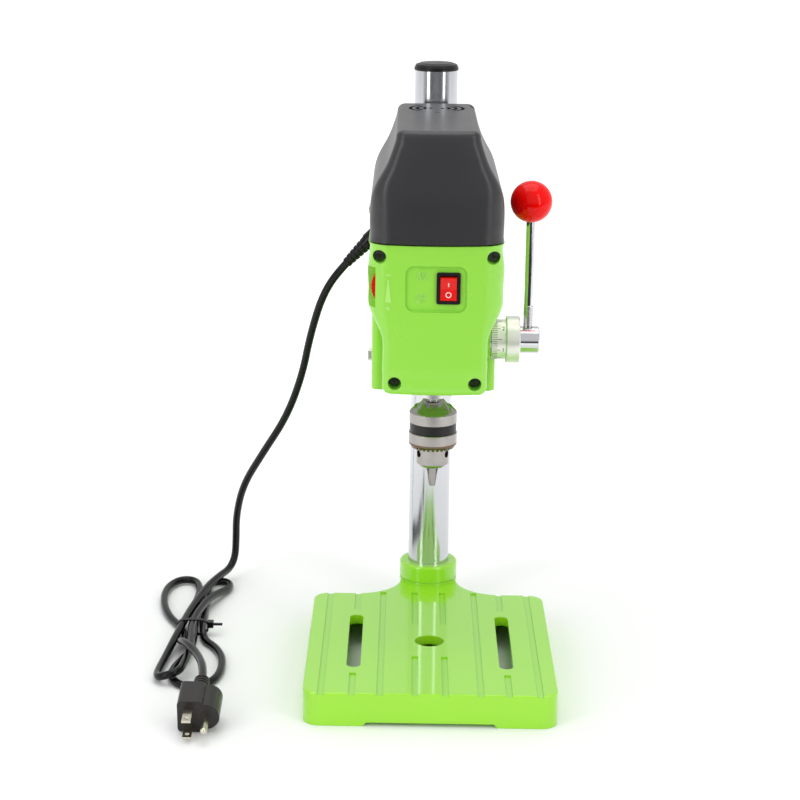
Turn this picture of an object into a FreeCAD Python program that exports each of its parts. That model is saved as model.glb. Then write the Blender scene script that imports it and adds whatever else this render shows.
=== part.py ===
"""Bench drill press on a 32 mm column: every physical piece is its own solid and its own STEP file.

Millimetres, +Z up, front towards -Y. The origin is on the spindle axis at the height of the base's foot.
"""
import FreeCAD, Part
import math
import os

V = FreeCAD.Vector
X = V(1, 0, 0)
Y = V(0, 1, 0)
Z = V(0, 0, 1)

# Driving dimensions
COLUMN_R = 16.0
COLUMN_Y = 139.0            # column axis behind the spindle axis
COLUMN_TOP = 428.0
RUNNING = 0.05              # radial clearance of every running fit
BASE_HALF_W = 89.0
BASE_FRONT = -98.5
BASE_BACK = 98.0
BASE_H = 24.5
PLATE_T = 7.0               # thickness of the table plate over the hollow underside
WALL = 6.0                  # skirt of the base
SOCKET_R = 22.7
SOCKET_TOP = 39.3
TABLE_HOLE_R = 10.7
SLOT_X = 54.7
SLOT_W = 10.0
GROOVE_W = 4.4
GROOVE_D = 1.2

HEAD_FRONT = -44.0          # middle of the bowed front face of the shell
FRONT_BOW = 10.0            # degrees that the front face has turned where its rounded corners begin
SHELL_BACK = 40.0
HEAD_HALF_W = 46.7
NARROW_HALF_W = 36.2        # half width of the shell below the flare
SHELL_TOP = 328.0
SHELL_BOTTOM = 222.5
SHELL_T = 2.6
SHELL_FLARE = (259.0, 287.0)    # heights between which the shell widens
SHELL_CORNERS = (6.0, 17.0)     # radius of the front corners below and above the flare
SCREW_SPOTS = [(-38.9, 319.6), (38.9, 319.6), (-27.7, 231.2), (27.7, 231.2)]
SCREW_SEAT = HEAD_FRONT + 16.0
BOSS_R = 6.5
BOSS_FACE = -17.0           # where the shell's screw bosses meet those of the casting
PANEL = (-21.0, 21.0, 282.2, 314.2)
PANEL_FACE = HEAD_FRONT + 2.8
PANEL_Z = 298.2
COVER_FRONT = HEAD_FRONT - 1.5
COVER_BOTTOM = 329.2
COVER_TOP = 405.5
COVER_BACK = 120.0
COVER_T = 2.4
COVER_SIDE_SCREW = (30.0, 341.0)
HOUSING_BOTTOM = 205.0      # rear housing round the motor
HOUSING_TOP = 327.5
HOUSING_HALF_W = 45.2
HOUSING_BACK = 121.0
CLAMP_BOTTOM = 188.0        # column clamp behind the housing
BARREL_BOTTOM = 226.0
LOCK_BOLT_Z = 189.0
LOCK_BOLT_X = 44.4
CLAMP_BOLT_Y = COLUMN_Y + 34.0
CLAMP_BOLT_Z = 200.0
MOTOR_BOLT_Y = 98.0
MOTOR_BOLT_Z = 218.0

QUILL_R = 14.0
QUILL_BOTTOM = 213.0
QUILL_TOP = 293.0
SPINDLE_R = 6.0
SPINDLE_TOP = 389.0
SPLINE_AF = 9.0             # across flats of the hexagonal drive end
TAPER_BOTTOM = 184.0
CHUCK_TOP = 209.4
CHUCK_CORE_R = 14.5         # body under the band and the sleeve
JAW_LEAN = 15.0             # the jaws close on the axis at this angle
JAW_TIP = 145.0
JAW_R = 2.5
JAW_L = 26.0
JAW_TRAVEL = 12.5
JAW_ANGLES = (30, 150, 270)
KEY_TEETH = 30
MODULE = 1.0                # rack and pinion
PINION_TEETH = 18
FEED_Y = 22.0
FEED_Z = 248.5
FEED_SEAT_R = 9.6           # shaft end that carries the dial
HUB_X = 61.6
HUB_L = 13.6
LEVER_X = 67.0
LEVER_R = 3.15
LEVER_FOOT_R = 3.0
BALL_R = 14.8
BALL_Z = FEED_Z + 100.0
WHEEL_AT = (-29.6, -31.0, 298.0)
WHEEL_R = 15.0
WHEEL_SHAFT_R = 3.0
SWITCH_X = 8.4
ROCKER_Z = PANEL_Z + 0.7
ROCKER_PIVOT_Y = PANEL_FACE + 1.2
ROCKER_HALF_SWING = 8.0     # degrees from the middle to either end

MOTOR_Y = 87.0
MOTOR_SHAFT_R = 3.0
MOTOR_R = 28.0
BELT_Z = 348.0
BELT_R = 2.5                # round belt
SPINDLE_PULLEY_R = 30.0     # pitch radii, 3 to 1
MOTOR_PULLEY_R = 10.0

CORD_R = 3.0
CORD_EXIT = V(-49.5, 105.0, 303.0)
CORD_EXIT_RUN = V(-15.5, 2.0, -15.5)    # the strain relief points down and to the left
CORD_ROUTE = [CORD_EXIT, CORD_EXIT + CORD_EXIT_RUN, V(-83, 115, 263), V(-94, 126, 226), V(-101, 136, 190),
              V(-114, 147, 153), V(-133, 160, 119), V(-147, 174, 88), V(-154, 188, 58), V(-156, 196, 32),
              V(-158.5, 192, 14), V(-165, 178, 3.5), V(-174, 163, 3.5)]
HANK_H = 16.0
WAIST = (-197.0, -171.0)    # sides of the bundle under the tie
TIE_Y = 72.0
PLUG_AT = V(-161, -67, 19.5)
PLUG_TILT = 8.0
BLADE_Z = 6.35              # the blades stand 12.7 mm apart


# Small building blocks

def box(x0, x1, y0, y1, z0, z1):
    return Part.makeBox(x1 - x0, y1 - y0, z1 - z0, V(x0, y0, z0))


def rod(radius, height, at, axis=Z):
    return Part.makeCylinder(radius, height, V(*at), axis)


def ring(outer, inner, height, at, axis=Z):
    start = V(*at) - axis * 1.0
    return rod(outer, height, at, axis).cut(Part.makeCylinder(inner, height + 2, start, axis))


def cone(r0, r1, height, at, axis=Z):
    return Part.makeCone(r0, r1, height, V(*at), axis)


def fused(shapes):
    first = shapes[0]
    return first.fuse(shapes[1:]).removeSplitter()


def prism(points, direction):
    wire = Part.makePolygon([V(*p) for p in points] + [V(*points[0])])
    return Part.Face(wire).extrude(direction)


def hexagon(across_flats, height, at, axis=Z):
    corner = across_flats / math.sqrt(3)
    points = [(corner * math.cos(math.radians(60 * i)), corner * math.sin(math.radians(60 * i)), 0)
              for i in range(6)]
    solid = prism(points, V(0, 0, height))
    solid.Placement = FreeCAD.Placement(V(*at), FreeCAD.Rotation(Z, axis))
    return solid


def turned(profile, at=(0, 0, 0)):
    """Solid of revolution about Z from a list of (radius, z) points."""
    wire = Part.makePolygon([V(r, 0, z) for r, z in profile] + [V(profile[0][0], 0, profile[0][1])])
    solid = Part.Face(wire).revolve(V(0, 0, 0), Z, 360)
    solid.translate(V(*at))
    return solid


def rounded(solid, radius, keep):
    """Fillet the edges whose test keep(edge) is true."""
    return solid.makeFillet(radius, [edge for edge in solid.Edges if keep(edge)])


def along(edge, axis):
    if edge.Curve.TypeId != "Part::GeomLine":
        return False
    return abs(edge.tangentAt(edge.FirstParameter).dot(axis)) > 0.999


def block(x0, x1, y0, y1, z0, z1, radius, axis=Z):
    """Box with the four edges along one axis rounded."""
    return rounded(box(x0, x1, y0, y1, z0, z1), radius, lambda edge: along(edge, axis))


def stadium(width, length, height, at):
    """Slot shape, long in Y, centred on at."""
    half = length / 2 - width / 2
    x, y, z = at
    return fused([box(x - width / 2, x + width / 2, y - half, y + half, z, z + height),
                  rod(width / 2, height, (x, y - half, z)),
                  rod(width / 2, height, (x, y + half, z))])


def ball_bearing(outer, inner, width, at):
    """Sealed bearing: both races and the seals in one piece, with a groove on each side."""
    mid = (outer + inner) / 2
    body = ring(outer, inner, width, at)
    for z in (at[2] - 0.5, at[2] + width - 0.4):
        body = body.cut(ring(mid + 1.0, mid - 1.0, 0.9, (at[0], at[1], z)))
    return body


def hex_bolt(across_flats, head_t, shank_r, length, at, axis):
    """Head outside the point at, shank going the other way."""
    head = hexagon(across_flats, head_t, at, axis)
    shank = rod(shank_r, length, at, axis * -1)
    return fused([head, shank])


def save(name, shape):
    shape.exportStep("parts/" + name + ".step")
    print("%-22s %9.0f mm3  valid %s  solids %d" % (name, shape.Volume, shape.isValid(), len(shape.Solids)))


# Base and column

def neck():
    """Plate behind the table, drawn in to the column socket by two concave curves."""
    reach = 56.0
    gap = COLUMN_Y - BASE_BACK
    radius = (reach ** 2 + gap ** 2 - SOCKET_R ** 2) / (2 * (gap + SOCKET_R))
    centre = V(reach, BASE_BACK + radius, 0)
    to_socket = (V(0, COLUMN_Y, 0) - centre).normalize()
    touch = centre + to_socket * radius
    start = V(reach, BASE_BACK, 0)
    middle = centre + ((touch - centre).normalize() + V(0, -1, 0)).normalize() * radius

    def mirror(point):
        return V(-point.x, point.y, point.z)

    edges = [Part.Arc(start, middle, touch).toShape(),
             Part.LineSegment(touch, mirror(touch)).toShape(),
             Part.Arc(mirror(touch), mirror(middle), mirror(start)).toShape(),
             Part.LineSegment(mirror(start), V(-reach, BASE_BACK - 5, 0)).toShape(),
             Part.LineSegment(V(-reach, BASE_BACK - 5, 0), V(reach, BASE_BACK - 5, 0)).toShape(),
             Part.LineSegment(V(reach, BASE_BACK - 5, 0), start).toShape()]
    return Part.Face(Part.Wire(edges)).extrude(V(0, 0, BASE_H))


def base():
    table = block(-BASE_HALF_W, BASE_HALF_W, BASE_FRONT, BASE_BACK, 0, BASE_H, 12)
    socket = rod(SOCKET_R, SOCKET_TOP, (0, COLUMN_Y, 0))
    solid = fused([table, neck(), socket])
    solid = rounded(solid, 1.2, lambda e: abs(e.BoundBox.ZMin - BASE_H) < 0.01
                    and abs(e.BoundBox.ZMax - BASE_H) < 0.01 and e.BoundBox.YMin < BASE_BACK - 1)
    solid = rounded(solid, 2.0, lambda e: abs(e.BoundBox.ZMin - SOCKET_TOP) < 0.01
                    and abs(e.BoundBox.ZMax - SOCKET_TOP) < 0.01)
    hollow = block(-BASE_HALF_W + WALL, BASE_HALF_W - WALL, BASE_FRONT + WALL, BASE_BACK - WALL,
                   -1, BASE_H - PLATE_T, 8)
    solid = solid.cut(hollow)
    solid = solid.cut(rod(TABLE_HOLE_R, BASE_H + 2, (0, 0, -1)))
    slot_mid = -0.4
    for side in (-1, 1):
        solid = solid.cut(stadium(SLOT_W, 102, BASE_H + 2, (side * SLOT_X, slot_mid, -1)))
        for x in (35.1, 76.2):
            solid = solid.cut(groove(side * x, BASE_FRONT, BASE_BACK))
        for x, gap_front, gap_back in ((10.6, -30, 33), (SLOT_X, -62, 62)):
            solid = solid.cut(groove(side * x, BASE_FRONT, gap_front))
            solid = solid.cut(groove(side * x, gap_back, BASE_BACK))
    foot = 47.0
    lift = 2.8
    notch = [(-foot, BASE_FRONT - 1, -1), (foot, BASE_FRONT - 1, -1), (foot, BASE_FRONT - 1, 0),
             (foot - lift, BASE_FRONT - 1, lift), (lift - foot, BASE_FRONT - 1, lift),
             (-foot, BASE_FRONT - 1, 0)]
    solid = solid.cut(prism(notch, V(0, WALL + 2, 0)))
    solid = solid.cut(rod(COLUMN_R + RUNNING, SOCKET_TOP, (0, COLUMN_Y, 6)))
    solid = solid.cut(rod(4.0, 12, (0, COLUMN_Y + SOCKET_R - 9, 28), Y))
    return solid.cut(ring(SOCKET_R + 1, SOCKET_R - 0.4, 0.8, (0, COLUMN_Y, 25.6)))


def groove(x, y0, y1):
    """Shallow run-off groove in the table, open at the edge of the plate."""
    start = y0 - 2 if y0 <= BASE_FRONT else y0
    end = y1 + 2 if y1 >= BASE_BACK else y1
    top = BASE_H - GROOVE_D
    cut = box(x - GROOVE_W / 2, x + GROOVE_W / 2, start, end, top, BASE_H + 1)
    if end > y1:
        return cut.cut(rod(SOCKET_R + 2, 40, (0, COLUMN_Y, 0)))
    return cut


def base_set_screw():
    """Locks the column in the socket, from behind."""
    tip = COLUMN_Y + COLUMN_R + 0.3
    screw = rod(4.0, 11, (0, tip, 28), Y)
    return screw.cut(hexagon(4, 5, (0, tip + 7, 28), Y))


def column():
    """Steel tube, sunk into the socket of the base."""
    return ring(COLUMN_R, COLUMN_R - 2.5, COLUMN_TOP - 6.3, (0, COLUMN_Y, 6.3))


def column_cap():
    """Plastic end cap with a groove under its domed head."""
    plug = turned([(0, -14), (COLUMN_R - 2.5, -14), (COLUMN_R - 2.5, 0), (COLUMN_R + 0.6, 0),
                   (COLUMN_R + 0.6, 1.6), (COLUMN_R - 0.2, 1.6), (COLUMN_R - 0.2, 2.2),
                   (COLUMN_R + 0.4, 2.2), (COLUMN_R - 0.6, 4.2), (COLUMN_R - 4, 5.4), (0, 6.0)])
    plug.translate(V(0, COLUMN_Y, COLUMN_TOP))
    return plug


# Head casting, shell and cover

def plan_wire(z, half_w, front, back, corner, back_corner):
    """Plan of the head at one height: bowed front, rounded corners, straight sides and back."""
    bow = math.radians(FRONT_BOW)
    tip_x = half_w - corner + corner * math.sin(bow)
    bow_r = tip_x / math.sin(bow)
    tip_y = front + bow_r * (1 - math.cos(bow))
    centre_y = tip_y + corner * math.cos(bow)
    mid = (math.pi / 2 - bow) / 2
    mid_x = half_w - corner + corner * math.cos(mid)
    mid_y = centre_y - corner * math.sin(mid)
    chord = back_corner * (1 - math.sqrt(0.5))

    def at(x, y):
        return V(x, y, z)

    edges = [Part.Arc(at(-tip_x, tip_y), at(0, front), at(tip_x, tip_y)).toShape(),
             Part.Arc(at(tip_x, tip_y), at(mid_x, mid_y), at(half_w, centre_y)).toShape(),
             Part.LineSegment(at(half_w, centre_y), at(half_w, back - back_corner)).toShape(),
             Part.Arc(at(half_w, back - back_corner), at(half_w - chord, back - chord),
                      at(half_w - back_corner, back)).toShape(),
             Part.LineSegment(at(half_w - back_corner, back), at(back_corner - half_w, back)).toShape(),
             Part.Arc(at(back_corner - half_w, back), at(chord - half_w, back - chord),
                      at(-half_w, back - back_corner)).toShape(),
             Part.LineSegment(at(-half_w, back - back_corner), at(-half_w, centre_y)).toShape(),
             Part.Arc(at(-half_w, centre_y), at(-mid_x, mid_y), at(-tip_x, tip_y)).toShape()]
    return Part.Wire(edges)


def edge_steps(radius):
    """Steps round a quarter circle, from the rim inwards: how far along the height, how far in."""
    angles = [math.radians(a) for a in (90, 72, 54, 36, 18, 0)]
    return [(radius * math.cos(a), radius * (1 - math.sin(a))) for a in angles]


def shell_form(inset, top, bottom):
    """Outside of the front shell, or with an inset its inside: wide above, an S curve, narrow below."""
    low, high = SHELL_FLARE
    narrow_corner, wide_corner = SHELL_CORNERS
    edge_r = 5.5 - inset
    sections = [(bottom + edge_r - down, further) for down, further in reversed(edge_steps(edge_r))]
    levels = (237.0, 248.0, low, 263.0, 268.0, 273.0, 278.0, 283.0, high, 300.0, 314.0, top)
    sections += [(z, 0) for z in levels]
    wires = []
    for z, further in sections:
        share = min(max((z - low) / (high - low), 0.0), 1.0)
        share = share * share * (3 - 2 * share)
        in_by = inset + further
        half_w = NARROW_HALF_W + (HEAD_HALF_W - NARROW_HALF_W) * share - in_by
        corner = narrow_corner + (wide_corner - narrow_corner) * share - in_by
        wires.append(plan_wire(z, half_w, HEAD_FRONT + in_by, SHELL_BACK + 2 * inset, corner, 0.5))
    return Part.makeLoft(wires, True, False)


def front_shell():
    """Moulded front cover: walls, four screw bosses, a sunk switch panel and a scoop for the speed wheel."""
    outer = shell_form(0, SHELL_TOP, SHELL_BOTTOM)
    inner = shell_form(SHELL_T, SHELL_TOP + 1, SHELL_BOTTOM + SHELL_T)
    boss_l = BOSS_FACE - HEAD_FRONT - 1
    bosses = fused([rod(BOSS_R, boss_l, (x, HEAD_FRONT + 1, z), Y) for x, z in SCREW_SPOTS])
    feet = fused([box(x - 4, x + 4, HEAD_FRONT + 1, BOSS_FACE, SHELL_BOTTOM + 1, z)
                  for x, z in SCREW_SPOTS if z < FEED_Z])
    x0, x1, z0, z1 = PANEL
    tray = block(x0 - 2.4, x1 + 2.4, HEAD_FRONT + 1, HEAD_FRONT + 5.4, z0 - 2.4, z1 + 2.4, 7.5, Y)
    pocket = block(-HEAD_HALF_W - 2, -39.2, -40.5, -21.5, 281.2, 314.4, 6, X)
    solid = outer.cut(inner.cut(fused([bosses, feet])).cut(tray).cut(pocket))
    solid = solid.cut(block(x0, x1, HEAD_FRONT - 1, PANEL_FACE, z0, z1, 6, Y))
    scoop = block(-HEAD_HALF_W - 4, -41.6, -46.0, -24.0, 283.8, 311.8, 6, X)
    solid = solid.cut(scoop)
    wheel_x, wheel_y, wheel_z = WHEEL_AT
    solid = solid.cut(rod(WHEEL_R + 0.8, 8, (wheel_x, wheel_y - 4, wheel_z), Y))
    for x, z in SCREW_SPOTS:
        solid = solid.cut(rod(4.6, SCREW_SEAT - HEAD_FRONT + 1, (x, HEAD_FRONT - 1, z), Y))
        solid = solid.cut(rod(2.1, 40, (x, HEAD_FRONT - 1, z), Y))
    solid = solid.cut(switch_hole())
    solid = solid.cut(rod(15.2, 30, (20, FEED_Y, FEED_Z), X))
    return solid.cut(rod(QUILL_R + 1.0, 20, (0, 0, SHELL_BOTTOM - 5)))


def switch_hole():
    return box(SWITCH_X - 6.9, SWITCH_X + 6.9, HEAD_FRONT - 1, HEAD_FRONT + 7,
               ROCKER_Z - 10.4, ROCKER_Z + 10.4)


def head_casting():
    """Rear housing, quill barrel, feed boss and column clamp in one casting."""
    housing = block(-HOUSING_HALF_W, HOUSING_HALF_W, SHELL_BACK + 0.4, HOUSING_BACK,
                    HOUSING_BOTTOM, HOUSING_TOP, 6)
    clamp = rod(27, HOUSING_TOP - CLAMP_BOTTOM, (0, COLUMN_Y, CLAMP_BOTTOM))
    saddle = box(-27, 27, HOUSING_BACK - 30, COLUMN_Y, HOUSING_BOTTOM, HOUSING_TOP)
    lug = box(-15, 15, COLUMN_Y, COLUMN_Y + 42, CLAMP_BOTTOM, 222)
    side_boss = rod(8, LOCK_BOLT_X - 10, (10, COLUMN_Y - 6, LOCK_BOLT_Z), X)
    barrel = rod(20.5, HOUSING_TOP - BARREL_BOTTOM, (0, 0, BARREL_BOTTOM))
    web = box(-20.5, 20.5, 0, SHELL_BACK + 5, BARREL_BOTTOM, HOUSING_TOP)
    feed_boss = rod(13.4, 66, (-26, FEED_Y, FEED_Z), X)
    bosses = fused([fused([rod(3.7, 60, (x, BOSS_FACE, z), Y), rib(x, z)]) for x, z in SCREW_SPOTS])
    solid = fused([housing, clamp, saddle, lug, side_boss, barrel, web, feed_boss, bosses])
    motor_room = block(-HOUSING_HALF_W + 4, HOUSING_HALF_W - 4, 49, 118.5, 211, HOUSING_TOP + 1, 4)
    solid = solid.cut(motor_room)
    solid = solid.cut(rod(QUILL_R + RUNNING, 90, (0, 0, BARREL_BOTTOM - 1)))
    solid = solid.cut(rod(QUILL_R, 30, (0, 0, 306)))
    solid = solid.cut(rod(11.4, 19, (-9.5, FEED_Y, FEED_Z), X))
    solid = solid.cut(rod(FEED_SEAT_R + RUNNING, 40, (9, FEED_Y, FEED_Z), X))
    solid = solid.cut(rod(6.0 + RUNNING, 40, (-40, FEED_Y, FEED_Z), X))
    solid = solid.cut(rod(11.6, 7, (-30.5, FEED_Y, FEED_Z), X))
    solid = solid.cut(rod(COLUMN_R + RUNNING, 200, (0, COLUMN_Y, 170)))
    solid = solid.cut(box(-1.5, 1.5, COLUMN_Y + 5, COLUMN_Y + 50, 170, HOUSING_TOP + 5))
    solid = solid.cut(rod(3.3, 40, (-20, CLAMP_BOLT_Y, CLAMP_BOLT_Z), X))
    solid = solid.cut(rod(4.0, 60, (10, COLUMN_Y - 6, LOCK_BOLT_Z), X))
    for x, z in SCREW_SPOTS:
        solid = solid.cut(rod(1.75, 24, (x, BOSS_FACE - 1, z), Y))
    solid = solid.cut(rod(3.0, 10, (-50, MOTOR_BOLT_Y, MOTOR_BOLT_Z), X))
    return solid.cut(grommet_stem())


def rib(x, z):
    """Carries a front screw boss back to the housing."""
    step = 1 if x > 0 else -1
    inner = x - step * 10
    return box(min(x, inner), max(x, inner), 10, 44, z - 2.5, z + 2.5)


def cover_form(inset, top, bottom):
    """Outside of the top cover, or with an inset its inside: upright, S shaped shoulders, a flat top."""
    wide = HEAD_HALF_W - 0.7
    # height, half width, radius of the front corners, how far the front leans back
    shoulder = [(bottom, wide, 17.0, 0.0), (339.0, wide, 17.0, 0.0), (349.0, wide, 17.0, 0.0),
                (359.0, wide - 0.9, 15.0, 0.2), (369.5, wide - 4.4, 11.0, 0.9),
                (381.0, wide - 10.7, 8.5, 1.7), (392.0, wide - 15.0, 7.5, 2.5)]
    edge_r = 5.0 - inset
    wires = [plan_wire(z, half_w - inset, COVER_FRONT + lean + inset, COVER_BACK - inset,
                       corner - inset, 7.0 - inset) for z, half_w, corner, lean in shoulder]
    for up, further in edge_steps(edge_r):
        in_by = inset + further
        wires.append(plan_wire(top - edge_r + up, wide - 17.3 - in_by, COVER_FRONT + 3.3 + in_by,
                               COVER_BACK - in_by, 7.5 - in_by, 7.0 - in_by))
    return Part.makeLoft(wires, True, False)


def top_cover():
    """Belt and motor cover with a round vent over the motor."""
    solid = cover_form(0, COVER_TOP, COVER_BOTTOM)
    solid = solid.cut(cover_form(COVER_T, COVER_TOP - COVER_T, COVER_BOTTOM - 1))
    for rim, start, sweep in vent_slots():
        solid = solid.cut(vent_slot(rim, start, sweep))
    solid = solid.cut(box(-1.8, 1.8, MOTOR_Y - 26.2, MOTOR_Y - 24.6, COVER_TOP - 6, COVER_TOP + 1))
    y, z = COVER_SIDE_SCREW
    for side in (-1, 1):
        solid = solid.cut(rod(1.7, 14, (side * (HEAD_HALF_W - 7), y, z), X * side))
    return solid


def vent_slots():
    """Concentric arcs left and right of the middle of the vent: radius, start angle and sweep."""
    slots = []
    for rim, half_sweep in ((20.5, 50), (15.5, 44), (10.5, 38), (5.5, 34)):
        slots.append((rim, -half_sweep, 2 * half_sweep))
        slots.append((rim, 180 - half_sweep, 2 * half_sweep))
    return slots


def vent_slot(rim, start, sweep):
    wedge = Part.makeCylinder(rim, 10, V(0, 0, 0), Z, sweep)
    hole = Part.makeCylinder(rim - 2.4, 12, V(0, 0, -1), Z)
    slot = wedge.cut(hole)
    slot.rotate(V(0, 0, 0), Z, start)
    slot.translate(V(0, MOTOR_Y, COVER_TOP - 7))
    return slot


def shell_screws():
    """Four pan head screws at the bottom of the counterbores."""
    screws = []
    for x, z in SCREW_SPOTS:
        screw = fused([rod(3.9, 2.6, (x, SCREW_SEAT - 2.6, z), Y), rod(1.75, 20, (x, SCREW_SEAT, z), Y)])
        for wide, tall in ((2.2, 0.4), (0.4, 2.2)):
            screw = screw.cut(box(x - wide, x + wide, SCREW_SEAT - 3, SCREW_SEAT - 1.2, z - tall, z + tall))
        screws.append(screw)
    return Part.makeCompound(screws)


def cover_screws():
    """Two small screws, one on each side of the cover, into clips of the housing."""
    screws = []
    y, z = COVER_SIDE_SCREW
    for side in (-1, 1):
        face = side * (HEAD_HALF_W - 0.6)
        head = rod(3.2, 1.6, (face, y, z), X * side)
        shank = rod(1.7, 6, (face, y, z), X * -side)
        screws.append(fused([head, shank]))
    return Part.makeCompound(screws)


def clamp_bolt():
    """Pinches the split column clamp behind the column."""
    bolt = hex_bolt(10, 4.5, 3.0, 36, (15, CLAMP_BOLT_Y, CLAMP_BOLT_Z), X)
    nut = hexagon(10, 5, (-15, CLAMP_BOLT_Y, CLAMP_BOLT_Z), X * -1)
    nut = nut.cut(rod(3.0, 10, (-25, CLAMP_BOLT_Y, CLAMP_BOLT_Z), X))
    return Part.makeCompound([bolt, nut])


def head_lock_bolt():
    """Hexagon bolt through the right side of the clamp that bears on the column."""
    reach = LOCK_BOLT_X - COLUMN_R - 0.6
    bolt = hex_bolt(13, 4.6, 4.0, reach, (LOCK_BOLT_X, COLUMN_Y - 6, LOCK_BOLT_Z), X)
    return bolt.cut(rod(COLUMN_R + 0.5, 60, (0, COLUMN_Y, 170)))


def motor_bolt():
    """Holds the motor frame to the left wall of the housing."""
    return hex_bolt(10, 3.6, 3.0, 9.9, (-HOUSING_HALF_W, MOTOR_BOLT_Y, MOTOR_BOLT_Z), X * -1)


# Quill, spindle and chuck

def rack_cuts():
    """Spaces between the teeth of the rack on the back of the quill."""
    pitch = math.pi * MODULE
    root = QUILL_R - 1.0 - 1.35 * MODULE
    cuts = [box(-20, 20, QUILL_R - 0.35, QUILL_R + 1, FEED_Z - 5.5, FEED_Z + 40)]
    for i in range(-2, 13):
        z = FEED_Z + i * pitch
        points = [(-20, QUILL_R + 1, z - 1.45), (-20, QUILL_R + 1, z + 1.45),
                  (-20, root, z + 0.62), (-20, root, z - 0.62)]
        cuts.append(prism(points, V(40, 0, 0)))
    return cuts


def quill():
    """Sleeve that carries the spindle bearings and has the feed rack cut in its back."""
    solid = rod(QUILL_R, QUILL_TOP - QUILL_BOTTOM, (0, 0, QUILL_BOTTOM))
    for cut in rack_cuts():
        solid = solid.cut(cut)
    solid = solid.cut(rod(SPINDLE_R + 1.2, 90, (0, 0, QUILL_BOTTOM - 2)))
    for z in (QUILL_BOTTOM - 1, QUILL_TOP - 7):
        solid = solid.cut(rod(10.5, 8, (0, 0, z)))
    return solid


def quill_bearings():
    """Bearings in both ends of the quill."""
    pair = [ball_bearing(10.5, SPINDLE_R, 5, (0, 0, z)) for z in (QUILL_BOTTOM + 1.5, QUILL_TOP - 6.5)]
    return Part.makeCompound(pair)


def taper_r(z):
    """Radius of the chuck taper on the spindle nose."""
    return 4.8 + 0.0209 * (z - TAPER_BOTTOM)


def spindle():
    """Taper nose for the chuck below, plain shaft through the quill, hexagonal drive end above."""
    nose_top = CHUCK_TOP + 1
    lower = turned([(0, TAPER_BOTTOM), (taper_r(TAPER_BOTTOM), TAPER_BOTTOM), (taper_r(nose_top), nose_top),
                    (SPINDLE_R, nose_top + 0.8), (SPINDLE_R, QUILL_TOP + 2), (0, QUILL_TOP + 2)])
    return fused([lower, hexagon(SPLINE_AF, SPINDLE_TOP - QUILL_TOP, (0, 0, QUILL_TOP))])


def chuck_body():
    """Body of the chuck: tapered bore above, three slanted jaw ways below, three key holes."""
    solid = turned([(0, 160.4), (9.6, 160.4), (11.7, 162.6), (11.7, 175.2), (CHUCK_CORE_R, 175.2),
                    (CHUCK_CORE_R, 193.2), (17.1, 193.2), (17.1, 200.4), (16.4, 201.4), (13.6, 204.2),
                    (12.4, 203.6), (9.0, 207.4), (7.4, CHUCK_TOP), (0, CHUCK_TOP)])
    bore_bottom = TAPER_BOTTOM - 1
    bore_top = CHUCK_TOP + 1
    solid = solid.cut(turned([(0, bore_bottom), (taper_r(bore_bottom), bore_bottom),
                              (taper_r(bore_top), bore_top), (0, bore_top)]))
    for angle in JAW_ANGLES:
        solid = solid.cut(jaw_rod(angle, 0.05, 4, JAW_TRAVEL + 1))
        hole = rod(2.6, 8, (6.4, 0, 170.2), X)
        hole.rotate(V(0, 0, 0), Z, angle + 60)
        solid = solid.cut(hole)
    return solid


def jaw_rod(angle, play, before, after):
    """Round rod that leans away from the axis; the body's bore is the same rod, larger and longer."""
    lean = math.radians(JAW_LEAN)
    axis = V(math.sin(lean), 0, math.cos(lean))
    start = V(0.5, 0, JAW_TIP) - axis * before
    solid = Part.makeCylinder(JAW_R + play, before + JAW_L + after, start, axis)
    solid.rotate(V(0, 0, 0), Z, angle)
    return solid


def chuck_jaw(angle):
    """One jaw: a third of the closed cone at its tip, with two gripping flats that meet near the axis."""
    solid = jaw_rod(0, 0, 2, 0)
    edge = 0.4
    reach = 40.0
    wide = (reach - edge) * math.tan(math.radians(60))
    sector = prism([(edge, 0, JAW_TIP), (reach, -wide, JAW_TIP), (reach, wide, JAW_TIP)], V(0, 0, 60))
    tip = fused([cone(2.2, 4.6, 15, (0, 0, JAW_TIP)), rod(20, 40, (0, 0, JAW_TIP + 15))])
    solid = solid.common(sector).common(tip)
    solid.rotate(V(0, 0, 0), Z, angle)
    return solid


def chuck_band():
    """Black plastic grip band between the upper and lower steel parts of the chuck."""
    return ring(16.7, CHUCK_CORE_R, 7.0, (0, 0, 186.2))


def chuck_sleeve():
    """Turning sleeve with the bevel ring of key teeth round its lower edge."""
    inner = CHUCK_CORE_R + RUNNING
    sleeve = turned([(inner, 176.0), (inner + 0.4, 174.6), (15.4, 174.4), (17.3, 177.2), (17.3, 185.4),
                     (16.9, 185.9), (inner, 185.9)])
    for i in range(KEY_TEETH):
        notch = rod(0.75, 6, (14.2, 0, 174.2), V(1, 0, 0.55))
        notch.rotate(V(0, 0, 0), Z, 360 / KEY_TEETH * i)
        sleeve = sleeve.cut(notch)
    return sleeve


# Drive: motor, belt and pulleys

def pulley(pitch_r, bore, at):
    """Round belt pulley: a disc with a half round groove in its rim."""
    rim = pitch_r + 1.6
    disc = ring(rim, bore, 9, (at[0], at[1], at[2] - 4.5))
    half = BELT_R + 0.3
    groove_cut = Part.makeTorus(pitch_r, half, V(*at), Z)
    mouth = ring(rim + 1, pitch_r, 2 * half, (at[0], at[1], at[2] - half))
    return disc.cut(groove_cut).cut(mouth)


def spindle_pulley():
    """Pulley with a hollow hub that turns in two bearings; the spindle slides through its hexagon bore."""
    disc = pulley(SPINDLE_PULLEY_R, 7.5, (0, 0, BELT_Z))
    hub = rod(7.5, BELT_Z + 8 - 312, (0, 0, 312))
    hub = hub.cut(hexagon(SPLINE_AF + 0.6, 60, (0, 0, 310)))
    return fused([disc, hub])


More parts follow.
